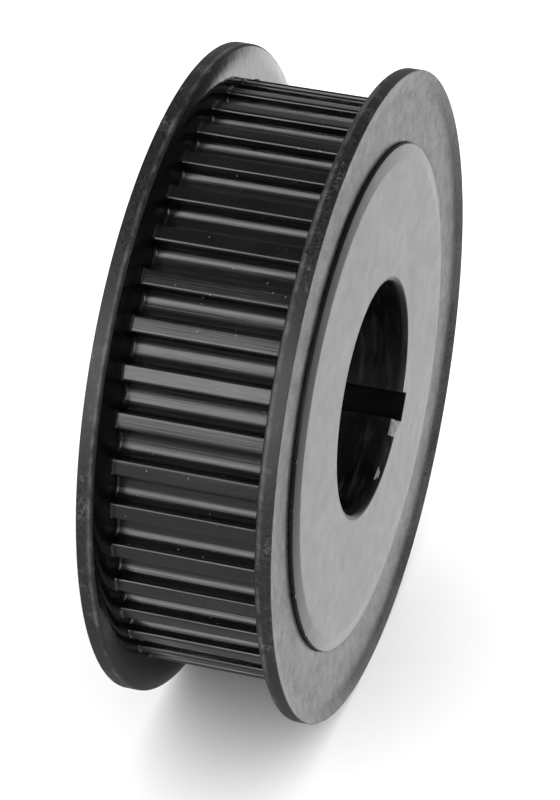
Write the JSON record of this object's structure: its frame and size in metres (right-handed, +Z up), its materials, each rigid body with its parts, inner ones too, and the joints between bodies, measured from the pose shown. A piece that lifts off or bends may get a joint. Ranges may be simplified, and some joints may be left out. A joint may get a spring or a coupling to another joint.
{
  "type": "timing belt pulley",
  "caption": "Flanged timing belt pulley for a round-tooth belt: grooved steel body with a keyed through bore, pressed guide flanges held by rolled lips, and set screws.",
  "frame": {"origin": "centre of the shaft bore, halfway between the two rims", "axes": "+Y along the bore axis towards the rear face, the front face towards -Y, +Z up with the pulley standing on its rims, +X to the right as seen from the front"},
  "size_m": [0.07, 0.0206, 0.07],
  "materials": {
    "body_steel": "turned and milled steel with a black oxide finish, lightly oiled",
    "flange_steel": "pressed steel sheet with a grainy black oxide finish",
    "screw_steel": "black oxide alloy steel"
  },
  "bodies": {
    "pulley": {"toothed_body": "body_steel", "front_flange": "flange_steel", "rear_flange": "flange_steel"},
    "key_screw": {"key_set_screw": "screw_steel"},
    "side_screw": {"side_set_screw": "screw_steel"}
  },
  "joints": [
    {"name": "key_screw_travel", "type": "slide", "parent": "pulley", "child": "key_screw", "axis": [0.7826, 0, -0.6225], "range_m": [-0.0003, 0.004]},
    {"name": "side_screw_travel", "type": "slide", "parent": "pulley", "child": "side_screw", "axis": [0.6225, 0, 0.7826], "range_m": [-0.0003, 0.004]}
  ]
}
